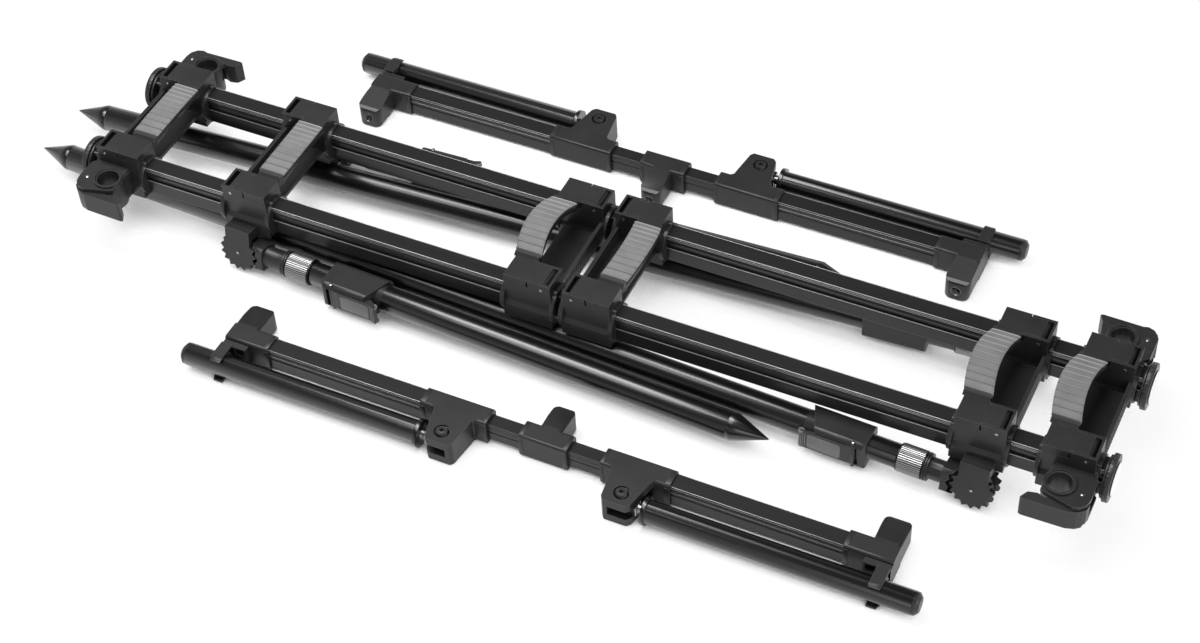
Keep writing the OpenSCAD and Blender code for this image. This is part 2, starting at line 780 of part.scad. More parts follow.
// Moves a bar drawn with its posts towards +Y to the near or far side
module at_bar(near) {
    translate([near ? near_bar_x : far_bar_x, near ? -bar_y : bar_y, 0])
        rotate([0, 0, near ? 180 : 0]) children();
}

// The right half of a bar as seen in the photo is the left half of a turned bar
module at_half(near, right) {
    placed() at_bar(near) mirror([near == right ? 1 : 0, 0, 0]) children();
}

module at_post(near, right) {
    at_half(near, right) translate([bolt_x, post_off, post_z]) children();
}

// One call for each sub-part

left_outer_rails();
right_outer_rails();
inner_rails();
left_end_caps();
right_end_caps();
bridge_1();
bridge_2();
bridge_3();
bridge_4();
bridge_5();
bridge_6();
lever(0);  // lever_1
lever(1);  // lever_2
lever(2);  // lever_3
lever(3);  // lever_4
lever(4);  // lever_5
lever(5);  // lever_6
grip(0);  // grip_1
grip(1);  // grip_2
grip(2);  // grip_3
grip(3);  // grip_4
grip(4);  // grip_5
grip(5);  // grip_6
post_clamp(0, -1);  // post_clamp_near_left
post_clamp(5, -1);  // post_clamp_near_right
post_clamp(0, 1);  // post_clamp_far_left
post_clamp(5, 1);  // post_clamp_far_right
leg_knuckle(0);  // leg_knuckle_near_left
leg_knuckle(1);  // leg_knuckle_near_right
leg_knuckle(2);  // leg_knuckle_far_left
leg_knuckle(3);  // leg_knuckle_far_right
leg_ring(0);  // leg_ring_near_left
leg_ring(1);  // leg_ring_near_right
leg_ring(2);  // leg_ring_far_left
leg_ring(3);  // leg_ring_far_right
leg_outer(0);  // leg_outer_near_left
leg_outer(1);  // leg_outer_near_right
leg_outer(2);  // leg_outer_far_left
leg_outer(3);  // leg_outer_far_right
leg_lock(0);  // leg_lock_near_left
leg_lock(1);  // leg_lock_near_right
leg_lock(2);  // leg_lock_far_left
leg_lock(3);  // leg_lock_far_right
placed() at_bar(true) bar_core();  // near_bar_core
at_half(true, false) bar_arm();  // near_bar_left_arm
at_half(true, true) bar_arm();  // near_bar_right_arm
at_post(true, false) post();  // near_left_post
at_post(true, true) post();  // near_right_post
placed() at_bar(false) bar_core();  // far_bar_core
at_half(false, false) bar_arm();  // far_bar_left_arm
at_half(false, true) bar_arm();  // far_bar_right_arm
at_post(false, false) post();  // far_left_post
at_post(false, true) post();  // far_right_post
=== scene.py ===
"""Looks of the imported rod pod, made around its solids.

Sizes are in millimetres until a piece is placed.
"""
import math

import bmesh
import bpy
from mathutils import Matrix, Vector


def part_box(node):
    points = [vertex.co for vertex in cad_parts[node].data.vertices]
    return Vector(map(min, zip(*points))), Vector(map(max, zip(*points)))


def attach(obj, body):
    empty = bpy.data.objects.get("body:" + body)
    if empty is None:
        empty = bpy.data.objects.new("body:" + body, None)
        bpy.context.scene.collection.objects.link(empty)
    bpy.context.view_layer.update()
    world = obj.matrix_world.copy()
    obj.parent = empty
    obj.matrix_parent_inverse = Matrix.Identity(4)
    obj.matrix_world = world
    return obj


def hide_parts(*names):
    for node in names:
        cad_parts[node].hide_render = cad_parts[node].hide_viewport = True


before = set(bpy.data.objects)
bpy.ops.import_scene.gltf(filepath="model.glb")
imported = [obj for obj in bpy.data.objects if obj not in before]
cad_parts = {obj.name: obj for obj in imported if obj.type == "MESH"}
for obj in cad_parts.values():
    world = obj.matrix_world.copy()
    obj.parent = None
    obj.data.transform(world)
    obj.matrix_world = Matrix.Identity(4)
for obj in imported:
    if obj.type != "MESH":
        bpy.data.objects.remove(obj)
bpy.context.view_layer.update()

# Driving sizes as the solids have them, in millimetres and degrees
MM = 0.001
RAIL_OUT = 450.0
RAIL_Y = 49.6
RAIL_MID_Z = 49.2
CAP_TEETH = 36
BRIDGE_X = [-420.0, -293.3, -26.3, 26.3, 354.5, 423.1]
HINGE_SIDE = [-1, -1, 1, -1, 1, 1]
BLOCK_HALF = 20.8
BLOCK_W = 11.95
BLOCK_TOP = 77.0
PIN_X = 12.8
PIN_Z = 71.3
GRIP_LEN = 64.6
GRIP_W = 23.4
GRIP_BOW = 4.4
GRIP_ARCH = 6.4
GRIP_RIBS = 10
SOCKET_Y = 79.4
SOCKET_TOP = 61.5
EAR_PIN_X = 18.6
EAR_PIN_Y = SOCKET_Y + 4.4
LEG_NAMES = ["near_left", "near_right", "far_left", "far_right"]
LEG_X = [-296.8, 358.0, -296.8, 358.0]
LEG_SIDE = [-1, -1, 1, 1]
LEG_YAW = [2.5, -2.45, 2.5, -3.05]
FOLD_LEAN = 10.0
HUB_Y = 70.1
LEG_Z = 18.4
KNURLS = 44
KNURL_MARGIN = 1.35
RING_FROM = [47.8, 40.2, 47.8, 40.2]
RING_TO = [71.5, 62.3, 71.5, 62.3]
LOCK_AT = [100.0, 96.0, 100.0, 96.0]
LOCK_LEN = 43.6
LOCK_LOW = 14.5
LOCK_EDGE = [18.0, 14.6, 18.0, 14.6]
BAR_Y = 161.0
BAR_X = {"near": 38.0, "far": -6.0}
BAR_END = 280.0
SLEEVE_END = 20.85
ARM_FROM = 109.05
ARM_TO = 250.95
BAR_H = 24.0
BOLT_X = 78.0
POST_OFF = 28.5
POST_LEN = 242.0
PLUG_LEN = 5.0
STUD_FROM = 13.05
STUD_TO = 18.95
HOLE_Z = 9.8

BRIDGE_BODY = ["bridge_1", "bridge_2", "left_frame", "right_frame", "bridge_5", "bridge_6"]
EACH_SIDE = (-1, 1)

# The frame's origin lies in the middle of the whole object's length
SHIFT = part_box("right_outer_rails")[1].x - RAIL_OUT * MM
PLACED = Matrix.Translation((SHIFT, 0, 0)) @ Matrix.Scale(MM, 4)


def move(x=0.0, y=0.0, z=0.0):
    return Matrix.Translation((x, y, z))


def turn(angle, axis):
    return Matrix.Rotation(math.radians(angle), 4, axis)


def flip(x=1, y=1):
    return Matrix.Diagonal((x, y, 1, 1))


def at_bridge(i):
    return PLACED @ move(BRIDGE_X[i]) @ flip(HINGE_SIDE[i])


def at_leg(i, tilt=0.0):
    side = LEG_SIDE[i]
    across = 1 if LEG_X[i] < 0 else -1
    return (PLACED @ move(LEG_X[i], side * HUB_Y, LEG_Z) @ flip(across, side)
            @ turn(LEG_YAW[i], "Z") @ turn(tilt, "X"))


def at_bar(which):
    near = which == "near"
    return PLACED @ move(BAR_X[which], -BAR_Y if near else BAR_Y) @ turn(180 if near else 0, "Z")


def at_half(which, end):
    return at_bar(which) @ flip(-1 if (which == "near") == (end == "right") else 1)


# Shader maths

class Value:
    """A shader socket that arithmetic can be written with."""

    def __init__(self, nodes, socket):
        self.nodes = nodes
        self.socket = socket

    def maths(self, operation, *others):
        return self.nodes.maths(operation, self, *others)

    def __add__(self, other):
        return self.maths("ADD", other)

    __radd__ = __add__

    def __sub__(self, other):
        return self.maths("SUBTRACT", other)

    def __rsub__(self, other):
        return self.nodes.maths("SUBTRACT", other, self)

    def __mul__(self, other):
        return self.maths("MULTIPLY", other)

    __rmul__ = __mul__

    def above(self, limit):
        return self.maths("GREATER_THAN", limit)

    def below(self, limit):
        return self.maths("LESS_THAN", limit)


class Nodes:
    """The node tree of one finish, or of the surrounding."""

    def __init__(self, name, world=None):
        self.material = world or bpy.data.materials.new(name)
        self.material.use_nodes = True
        self.tree = self.material.node_tree
        self.tree.nodes.clear()
        self.place = self.add("ShaderNodeTexCoord", out="Object")

    def add(self, kind, settings=None, sockets=None, out=0):
        node = self.tree.nodes.new(kind)
        for key, value in (settings or {}).items():
            setattr(node, key, value)
        for key, value in (sockets or {}).items():
            self.feed(node.inputs[key], value)
        return Value(self, node.outputs[out])

    def feed(self, socket, value):
        if isinstance(value, Value):
            self.tree.links.new(value.socket, socket)
        else:
            socket.default_value = value

    def maths(self, operation, *terms):
        return self.add("ShaderNodeMath", {"operation": operation}, dict(enumerate(terms)))

    def vector(self, operation, *terms, out=0):
        return self.add("ShaderNodeVectorMath", {"operation": operation}, dict(enumerate(terms)), out)

    def noise(self, place, scale, detail=2.0, rough=0.55):
        return self.add("ShaderNodeTexNoise", {"noise_dimensions": "3D"},
                        {"Vector": place, "Scale": scale, "Detail": detail, "Roughness": rough}, "Fac")

    def ramp(self, value, low, high):
        return self.add("ShaderNodeMapRange", {}, {"Value": value, "From Min": low, "From Max": high},
                        "Result")

    def blend(self, share, a, b):
        return self.add("ShaderNodeMix", {"data_type": "RGBA"}, {"Factor": share, 6: a, 7: b}, 2)

    def stretched(self, x, y, z):
        return self.vector("MULTIPLY", self.place, (x, y, z))


def grey(tone):
    return (tone, tone, tone, 1)


# Each finish gives base colour, roughness, metallic, height in millimetres and coat weight

def moulded(n, tone=0.015, rough=0.46, grain=0.03):
    """Spark-eroded matt moulding with a faint flow pattern, with painted highlights on its outer edges.
    """
    fine = n.noise(n.place, 1500.0, 3.0, 0.7)
    cloud = n.noise(n.place, 34.0, 2.0)
    colour = n.blend(n.ramp(fine * 0.6 + cloud * 0.4, 0.35, 0.65), grey(tone * 0.7), grey(tone * 1.35))
    # Convex edges, found by tracing inside the solid, get a paler grey: a painted highlight.
    depth = n.add("ShaderNodeAmbientOcclusion", {"samples": 8, "inside": True, "only_local": True},
                  {"Distance": 0.6 * MM}, "AO")
    edge = 1.0 - n.ramp(depth, 0.45, 0.85)
    colour = n.blend(edge * (0.35 + cloud * 0.65), colour, grey(tone + 0.07))
    roughness = rough - 0.06 + cloud * 0.08 + fine * 0.06
    return colour, roughness, 0.0, fine * grain, 0.3


def drawn(n, tone=0.018, rough=0.32, metal=0.3):
    """Black anodised profile with the fine lines of drawing along it."""
    lines = n.noise(n.stretched(6.0, 1400.0, 1400.0), 1.0, 2.0)
    cloud = n.noise(n.stretched(3.0, 40.0, 40.0), 1.0, 2.0)
    colour = n.blend(n.ramp(lines * 0.5 + cloud * 0.5, 0.3, 0.7), grey(tone * 0.8), grey(tone * 1.25))
    return colour, rough - 0.05 + lines * 0.1, metal, lines * 0.006, 0.3


def coated(n, tone=0.002, rough=0.3):
    """Satin black coating on a tube."""
    fine = n.noise(n.place, 900.0, 2.0)
    cloud = n.noise(n.place, 22.0, 2.0)
    colour = n.blend(cloud, grey(tone * 0.8), grey(tone * 1.3))
    return colour, rough - 0.04 + cloud * 0.06 + fine * 0.05, 0.0, fine * 0.006, 1.0


def steel(n, tone=0.42, rough=0.26):
    """Bright turned steel."""
    lines = n.noise(n.place, 2600.0, 2.0)
    colour = n.blend(lines, grey(tone * 0.85), grey(tone * 1.1))
    return colour, rough - 0.03 + lines * 0.08, 1.0, lines * 0.001, 0.0


def soft_grip(n, tone=0.15, rough=0.62):
    """Soft grey elastomer, with painted highlights on its ribs where they face up and painted shade on
    its sides.
    """
    fine = n.noise(n.place, 1900.0, 3.0, 0.7)
    cloud = n.noise(n.place, 60.0, 3.0)
    colour = n.blend(n.ramp(fine * 0.5 + cloud * 0.5, 0.35, 0.65), grey(tone * 0.86), grey(tone * 1.14))
    place = n.add("ShaderNodeSeparateXYZ", {}, {"Vector": n.place}, "Y")
    from_rib = (place * (1000.0 / GRIP_LEN * GRIP_RIBS)).maths("PINGPONG", 0.5)
    facing = n.add("ShaderNodeNewGeometry", out="True Normal")
    up = n.add("ShaderNodeSeparateXYZ", {}, {"Vector": facing}, "Z")
    # Painted light from above: up-facing rib crests get a painted highlight, sides turned away get
    # painted shade.
    painted_light_from_above = n.ramp(up, 0.45, 0.75)
    colour = n.blend(n.ramp(from_rib, 0.13, 0.05) * painted_light_from_above, colour, grey(tone * 1.9))
    colour = n.blend(painted_light_from_above, grey(tone * 0.45), colour)
    return colour, rough - 0.05 + fine * 0.1, 0.0, fine * 0.04, 0.0


def mixed(n, share, a, b):
    """Finish b where share is 1, and finish a elsewhere."""
    values = [n.blend(share, a[0], b[0])]
    for first, second in zip(a[1:], b[1:]):
        if isinstance(first, Value) or isinstance(second, Value) or first != second:
            values.append(first * (1 - share) + second * share)
        else:
            values.append(first)
    return tuple(values)


def finish(name, parts):
    """Makes the material from a function that gives its parts."""
    n = Nodes(name)
    colour, roughness, metallic, height, coat = parts(n)
    normal = n.add("ShaderNodeBump", {}, {"Height": height, "Distance": MM, "Strength": 1.0}, "Normal")
    shader = n.add("ShaderNodeBsdfPrincipled", {}, {"Base Color": colour, "Roughness": roughness,
                                                    "Metallic": metallic, "Normal": normal,
                                                    "Specular IOR Level": 0.25, "Coat Weight": coat,
                                                    "Coat Roughness": 0.24}, "BSDF")
    n.tree.links.new(shader.socket, n.tree.nodes.new("ShaderNodeOutputMaterial").inputs["Surface"])
    return n.material


def along(n, matrix):
    """Distance in millimetres along the local X of a placed part."""
    start = matrix.translation
    way = (matrix.to_3x3() @ Vector((1, 0, 0))).normalized()
    away = n.vector("SUBTRACT", n.place, tuple(start))
    return n.vector("DOT_PRODUCT", away, tuple(way), out="Value") * 1000.0


CHARCOAL = finish("charcoal_moulding", moulded)
BLACK = finish("black_moulding", lambda n: moulded(n, 0.02, 0.38, 0.02))
LEVER_GREY = finish("lever_pad_moulding", lambda n: moulded(n, 0.12, 0.48, 0.03))
ANODISED = finish("black_anodised_profile", drawn)
GRIP = finish("grey_soft_grip", soft_grip)
STEEL = finish("turned_steel", steel)
DISC = finish("pale_disc", lambda n: moulded(n, 0.75, 0.35, 0.01))
# Pale thin strips along the profiles: painted highlights of their edges.
PAINTED_HIGHLIGHT = finish("painted_highlight_profile_edge", lambda n: drawn(n, 0.4, 0.4, 0.6))
DARK_STEEL = finish("dark_turned_steel", lambda n: steel(n, 0.16, 0.3))
BLACKENED = finish("blackened_steel", lambda n: steel(n, 0.045, 0.36))


def leg_finish(i, end, name):
    """Moulded parts up to a distance from the hub and coated tube beyond it."""
    return finish(name, lambda n: mixed(n, along(n, at_leg(i)).above(end), moulded(n), coated(n)))


def ring_finish(i):
    """Turned steel with painted shade in the valleys of the straight knurl, and dark on its plain ends.
    """
    def parts(n):
        matrix = at_leg(i)
        away = n.vector("SUBTRACT", n.place, tuple(matrix.translation))
        ways = [(matrix.to_3x3() @ Vector(axis)).normalized() for axis in ((0, 1, 0), (0, 0, 1))]
        y, z = [n.vector("DOT_PRODUCT", away, tuple(way), out="Value") for way in ways]
        turns = z.maths("ARCTAN2", y) * (KNURLS / math.tau)
        x = along(n, matrix)
        # Painted shade: the knurl's valleys and plain ends take the dark steel, its ridges the bright.
        ridge = n.ramp(turns.maths("PINGPONG", 0.5), 0.1, 0.4)
        plain = x.below(RING_FROM[i] + KNURL_MARGIN) + x.above(RING_TO[i] - KNURL_MARGIN)
        bright, dark = steel(n, 0.5, 0.36), steel(n, 0.03, 0.4)
        return mixed(n, ridge * (1 - plain), dark, bright)
    return finish("knurled_steel_" + LEG_NAMES[i], parts)


def arm_finish(which, end):
    """A profile between two moulded ends."""
    def parts(n):
        x = along(n, at_half(which, end))
        return mixed(n, x.above(ARM_FROM) * x.below(ARM_TO), moulded(n), drawn(n))
    return finish("arm_" + which + "_" + end, parts)


def core_finish(which):
    """A moulded sleeve in the middle of a profile."""
    def parts(n):
        x = along(n, at_bar(which)).maths("ABSOLUTE")
        return mixed(n, x.above(SLEEVE_END), moulded(n), drawn(n))
    return finish("core_" + which, parts)


def post_finish(which, end):
    """Moulded eye, bright stud, coated collar and tube, moulded plug."""
    def parts(n):
        x = along(n, at_half(which, end) @ move(BOLT_X, POST_OFF, BAR_H / 2))
        base = mixed(n, x.above(STUD_FROM) * x.below(POST_LEN - PLUG_LEN), moulded(n), coated(n))
        return mixed(n, x.above(STUD_FROM) * x.below(STUD_TO), base, steel(n))
    return finish("post_" + which + "_" + end, parts)


def dress(node, material, edge=0.0):
    """Gives a solid of the frame its finish and soft edges."""
    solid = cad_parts[node]
    for slot in solid.material_slots:
        slot.material = material
    if edge:
        weld = solid.modifiers.new("weld", "WELD")
        weld.merge_threshold = 0.002 * MM
        flat = solid.modifiers.new("flat", "DECIMATE")
        flat.decimate_type = "DISSOLVE"
        flat.angle_limit = math.radians(1.0)
        bevel = solid.modifiers.new("bevel", "BEVEL")
        bevel.width = edge * MM
        bevel.segments = 2
        bevel.limit_method = "ANGLE"
        bevel.angle_limit = math.radians(40)
        bevel.harden_normals = True


for name in ("left_outer_rails", "right_outer_rails", "inner_rails"):
    dress(name, ANODISED, 0.25)
for name in ("left_end_caps", "right_end_caps"):
    dress(name, BLACK, 0.5)
for i in range(6):
    dress(f"bridge_{i + 1}", CHARCOAL, 0.7)
    dress(f"lever_{i + 1}", CHARCOAL, 0.6)
    dress(f"grip_{i + 1}", GRIP, 1.0)
for side in ("near", "far"):
    for end in ("left", "right"):
        dress(f"post_clamp_{side}_{end}", CHARCOAL, 0.8)
for i, name in enumerate(LEG_NAMES):
    dress("leg_knuckle_" + name, leg_finish(i, RING_FROM[i] - 0.35, "knuckle_" + name), 0.5)
    dress("leg_ring_" + name, STEEL)
    dress("leg_outer_" + name, leg_finish(i, LOCK_AT[i] + LOCK_LEN + 0.05, "leg_" + name), 0.7)
    dress("leg_lock_" + name, CHARCOAL, 0.7)
for which in ("near", "far"):
    dress(which + "_bar_core", core_finish(which), 0.7)
    for end in ("left", "right"):
        dress(f"{which}_bar_{end}_arm", arm_finish(which, end), 0.7)
        dress(f"{which}_{end}_post", post_finish(which, end), 0.4)

# Pieces built in their part's own frame, in millimetres


class Build:
    """One piece, put together from shapes in a placed frame."""

    def __init__(self, at):
        self.at = at
        self.whole = bmesh.new()

    def take(self, shape, place=Matrix(), soft=0.0, sharp=30.0):
        """Rounds the sharp edges of a shape, puts it in its place and adds it to the piece."""
        bmesh.ops.remove_doubles(shape, verts=shape.verts, dist=0.0001)
        bmesh.ops.recalc_face_normals(shape, faces=shape.faces)
        if soft:
            limit = math.radians(sharp)
            edges = [e for e in shape.edges if len(e.link_faces) == 2 and e.calc_face_angle() > limit]
            bmesh.ops.bevel(shape, geom=edges, offset=soft, segments=2, profile=0.5, affect="EDGES",
                            material=-1, clamp_overlap=True)
        where = self.at @ place
        bmesh.ops.transform(shape, matrix=where, verts=shape.verts)
        if where.determinant() < 0:
            bmesh.ops.reverse_faces(shape, faces=shape.faces)
        mesh = bpy.data.meshes.new("shape")
        shape.to_mesh(mesh)
        shape.free()
        self.whole.from_mesh(mesh)
        bpy.data.meshes.remove(mesh)
        return self

    def block(self, low, high, soft=0.3, place=Matrix()):
        """A box between two corners."""
        shape = bmesh.new()
        size = [b - a for a, b in zip(low, high)]
        middle = [(a + b) / 2 for a, b in zip(low, high)]
        bmesh.ops.create_cube(shape, size=1.0, matrix=move(*middle) @ Matrix.Diagonal((*size, 1)))
        return self.take(shape, place, soft)

    def rod(self, start, end, radius, soft=0.2, sides=48):
        """A round bar between two points."""
        shape = bmesh.new()
        line = Vector(end) - Vector(start)
        middle = (Vector(start) + Vector(end)) / 2
        lie = move(*middle) @ line.to_track_quat("Z", "X").to_matrix().to_4x4()
        bmesh.ops.create_cone(shape, cap_ends=True, segments=sides, radius1=radius, radius2=radius,
                              depth=line.length, matrix=lie)
        return self.take(shape, soft=soft)

    def turned(self, profile, sides=64, place=Matrix()):
        """A shape turned about X from points (x, radius)."""
        shape = bmesh.new()
        points = [shape.verts.new((x, 0, r)) for x, r in profile]
        lines = [shape.edges.new(pair) for pair in zip(points, points[1:])]
        bmesh.ops.spin(shape, geom=points + lines, cent=(0, 0, 0), axis=(1, 0, 0), angle=math.tau,
                       steps=sides, use_merge=True)
        return self.take(shape, place)

    def slab(self, outline, low, high, soft=0.3, place=Matrix(), rim=0.0):
        """A plate of an XY outline, or only its rim."""
        shape = bmesh.new()
        face = shape.faces.new([shape.verts.new((x, y, low)) for x, y in outline])
        faces = [face]
        if rim:
            inset = bmesh.ops.inset_region(shape, faces=[face], thickness=rim, use_even_offset=True)
            faces = inset["faces"]
            bmesh.ops.delete(shape, geom=[face], context="FACES")
        grown = bmesh.ops.extrude_face_region(shape, geom=faces)["geom"]
        up = [v for v in grown if isinstance(v, bmesh.types.BMVert)]
        bmesh.ops.translate(shape, verts=up, vec=(0, 0, high - low))
        return self.take(shape, place, soft)

    def piece(self, name, body, material, smooth=35.0, replaces=()):
        """Puts the finished piece in the scene, on its body."""
        mesh = bpy.data.meshes.new(name)
        self.whole.to_mesh(mesh)
        self.whole.free()
        mesh.materials.append(material)
        for face in mesh.polygons:
            face.use_smooth = True
        mesh.set_sharp_from_angle(angle=math.radians(smooth))
        made = bpy.data.objects.new(name, mesh)
        bpy.context.scene.collection.objects.link(made)
        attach(made, body)
        if replaces:
            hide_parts(*replaces)
        return made


def round_corners(points, radius, steps=5):
    """The outline with each of its corners rounded."""
    made = []
    for i, here in enumerate(points):
        here = Vector(here)
        to_last = (Vector(points[i - 1]) - here).normalized()
        to_next = (Vector(points[(i + 1) % len(points)]) - here).normalized()
        reach = min(radius / math.tan(to_last.angle(to_next) / 2),
                    0.49 * (Vector(points[i - 1]) - here).length,
                    0.49 * (Vector(points[(i + 1) % len(points)]) - here).length)
        for k in range(steps + 1):
            t = k / steps
            made.append((here + to_last * reach * (1 - t) ** 2 + to_next * reach * t ** 2)[:2])
    return made


def ribbed_grip(i):
    """Soft grip with a fine raised rib every tenth of its length, arched over the trough."""
    pad = Build(at_bridge(i))
    shape = bmesh.new()
    bmesh.ops.create_grid(shape, x_segments=14, y_segments=200, size=1.0)
    bow_r = ((GRIP_LEN / 2) ** 2 + GRIP_BOW ** 2) / (2 * GRIP_BOW)
    arch_r = ((GRIP_LEN / 2) ** 2 + GRIP_ARCH ** 2) / (2 * GRIP_ARCH)
    for v in shape.verts:
        u, y = v.co.x, v.co.y * GRIP_LEN / 2
        share = (y / GRIP_LEN + 0.5) * GRIP_RIBS
        away = abs(share - round(share)) * GRIP_LEN / GRIP_RIBS
        rib = 0.55 * math.exp(-(away / 0.42) ** 2) - 0.3 * math.exp(-((away - 0.9) / 0.5) ** 2)
        bow = math.sqrt(bow_r ** 2 - y ** 2) - bow_r + GRIP_BOW
        v.co.x = -bow - GRIP_W / 2 + u * (GRIP_W / 2 + 0.3 * rib)
        v.co.y = y
        v.co.z = (BLOCK_TOP + 3.0 + math.sqrt(arch_r ** 2 - y ** 2) - arch_r + GRIP_ARCH
                  + rib - 0.8 * abs(u) ** 10)
    bmesh.ops.recalc_face_normals(shape, faces=shape.faces)
    bmesh.ops.solidify(shape, geom=shape.faces[:], thickness=3.4)
    pad.take(shape)
    pad.piece(f"ribbed_grip_{i + 1}", f"lever_{i + 1}", GRIP, 50, [f"grip_{i + 1}"])


def lever_pins(i):
    """Bright ends of the lever pins on both faces of both blocks."""
    pins = Build(at_bridge(i))
    for side in EACH_SIDE:
        for face in EACH_SIDE:
            y = side * RAIL_Y + face * (BLOCK_W + 0.25)
            pins.turned([(0, 1.4), (0.25, 1.35), (0.42, 0.9), (0.5, 0)], 24,
                        move(PIN_X, y, PIN_Z) @ turn(90 * face, "Z"))
    pins.piece(f"lever_pin_ends_{i + 1}", BRIDGE_BODY[i], STEEL)


def socket_pins(i):
    """Bright heads of the cam lever pins."""
    pins = Build(at_bridge(i))
    for side in EACH_SIDE:
        pins.turned([(0, 1.5), (0.3, 1.45), (0.5, 0.9), (0.6, 0)], 24,
                    move(EAR_PIN_X, side * EAR_PIN_Y, SOCKET_TOP + 0.05) @ turn(-90, "Y"))
    pins.piece(f"cam_pin_heads_{i + 1}", BRIDGE_BODY[i], STEEL)


def socket_rims(i):
    """Raised collar round each post socket and a fine rim round its ear."""
    rims = Build(at_bridge(i))
    for side in EACH_SIDE:
        rims.turned([(-0.3, 9.7), (-0.3, 12.5), (2.0, 12.4), (2.3, 12.1), (2.35, 11.2), (2.0, 10.8),
                     (1.2, 10.7), (1.1, 9.7), (-0.3, 9.7)], 64,
                    move(0, side * SOCKET_Y, SOCKET_TOP) @ turn(-90, "Y"))
        outline = [(-11.2, SOCKET_Y + 10.2), (-8, SOCKET_Y + 12.2), (15.2, EAR_PIN_Y + 13.6),
                   (20.2, EAR_PIN_Y + 12.0), (24.1, EAR_PIN_Y + 7.9), (25.4, EAR_PIN_Y + 2), (25.2, 67.0),
                   (20.0, 61.8), (-9.0, 61.8)]
        rims.slab(round_corners(outline, 3.0), SOCKET_TOP - 0.2, SOCKET_TOP + 0.35, 0.12,
                  flip(1, side), 0.9)
    rims.piece(f"socket_rims_{i + 1}", BRIDGE_BODY[i], CHARCOAL)


def wall_ribs(i):
    """Fine upright ribs on the outer face of the trough's wall, and its raised lip."""
    ribs = Build(at_bridge(i))
    for k in range(-10, 11):
        ribs.block((BLOCK_HALF - 0.3, k * 3.4 - 0.4, 45.0), (BLOCK_HALF + 0.3, k * 3.4 + 0.4, 59.2), 0.15)
    ribs.block((BLOCK_HALF - 1.1, -37.2, 60.7), (BLOCK_HALF + 0.2, 37.2, 61.35), 0.25)
    ribs.piece(f"trough_ribs_{i + 1}", BRIDGE_BODY[i], CHARCOAL)


def hub_pin(i):
    """Bright ends of the pin that a leg folds on."""
    pin = Build(at_leg(i, FOLD_LEAN))
    for side in EACH_SIDE:
        pin.turned([(0, 1.5), (0.25, 1.45), (0.45, 0.9), (0.55, 0)], 24,
                   move(0, side * 9.35) @ turn(90 * side, "Z"))
    pin.piece("fold_pin_" + LEG_NAMES[i], "bridge_2" if LEG_X[i] < 0 else "bridge_5", STEEL)


def knurled_ring(i):
    """Turned ring with straight ridges."""
    low, high = RING_FROM[i], RING_TO[i]
    ring = Build(at_leg(i))
    shape = bmesh.new()
    bmesh.ops.create_cone(shape, cap_ends=True, segments=4 * KNURLS, radius1=11.7, radius2=11.7,
                          depth=high - low - 2.6, matrix=move((low + high) / 2) @ turn(90, "Y"))
    for v in shape.verts:
        angle = math.atan2(v.co.z, v.co.y) * KNURLS
        if math.hypot(v.co.y, v.co.z) > 1:
            scale = 1 - 0.02 * (0.5 + 0.5 * math.cos(angle))
            v.co.y *= scale
            v.co.z *= scale
    ring.take(shape)
    ring.turned([(low, 10.1), (low, 11.0), (low + 0.4, 11.3), (low + 1.4, 11.35), (high - 1.4, 11.35),
                 (high - 0.4, 11.3), (high, 11.0), (high, 10.1)])
    node = "leg_ring_" + LEG_NAMES[i]
    ring.piece("knurled_ring_" + LEG_NAMES[i], node, ring_finish(i), 25, [node])


def lock_pad(i):
    """Raised grip pad with a scalloped end, on the flip lever."""
    face = LOCK_EDGE[i] + 1.0
    pad = Build(at_leg(i))
    low, high = LOCK_AT[i] + 9.5, LOCK_AT[i] + 37.5
    outline = round_corners([(low, -8.4), (high, -8.4), (high, 6.4), (low, 6.4)], 2.4)
    upright = move(0, face, 0) @ turn(90, "X")
    pad.slab(outline, -0.5, 0.2, 0.15, upright)
    for k in range(3):
        x = high + 1.6 + k * 1.7
        pad.rod((x, face + 0.3, -8.2), (x, face + 0.3, 6.2), 0.45, sides=12)
    x, y = high + 5.4, face - 1.5
    for z in (-9.0, 6.9):
        pad.rod((x, y, z - 1.2), (x, y, z + 1.2), 2.6, soft=0.5, sides=24)
    pad.piece("lock_pad_" + LEG_NAMES[i], "leg_lock_" + LEG_NAMES[i], LEVER_GREY)


def lock_pins(i):
    """Bright ends of the pin that the flip lever turns on."""
    across = [15.4, 12.6][i % 2]
    pins = Build(at_leg(i))
    for side in EACH_SIDE:
        z = 12.9 if side > 0 else -LOCK_LOW - 0.2
        pins.turned([(0, 1.5), (0.25, 1.4), (0.4, 0.9), (0.45, 0)], 24,
                    move(LOCK_AT[i], across, z) @ turn(-90 * side, "Y"))
    pins.piece("lock_pin_ends_" + LEG_NAMES[i], "leg_outer_" + LEG_NAMES[i], STEEL)


def end_cap(end, side):
    """Pale domed disc of an end cap, with the teeth and the ring behind its rim."""
    way = 1 if end == "right" else -1
    name = ("near" if side < 0 else "far") + "_" + end
    at = PLACED @ move(way * RAIL_OUT, side * RAIL_Y, RAIL_MID_Z) @ flip(way)
    face = Build(at)
    face.turned([(8.45, 0), (8.4, 7), (8.3, 11), (8.1, 13), (7.9, 13.5), (7.3, 13.7), (7.3, 0)], 64)
    face.piece("cap_disc_" + name, end + "_frame", DISC)
    rim = Build(at)
    for k in range(CAP_TEETH):
        angle = math.tau * k / CAP_TEETH
        rim.block((2.45, -0.75, 18.4), (6.6, 0.75, 19.15), 0.2, turn(math.degrees(angle), "X"))
    rim.turned([(0.6, 15.0), (0.9, 17.2), (1.3, 17.3), (1.7, 17.2), (2.0, 15.0)], 64)
    rim.piece("cap_rim_" + name, end + "_frame", BLACK)


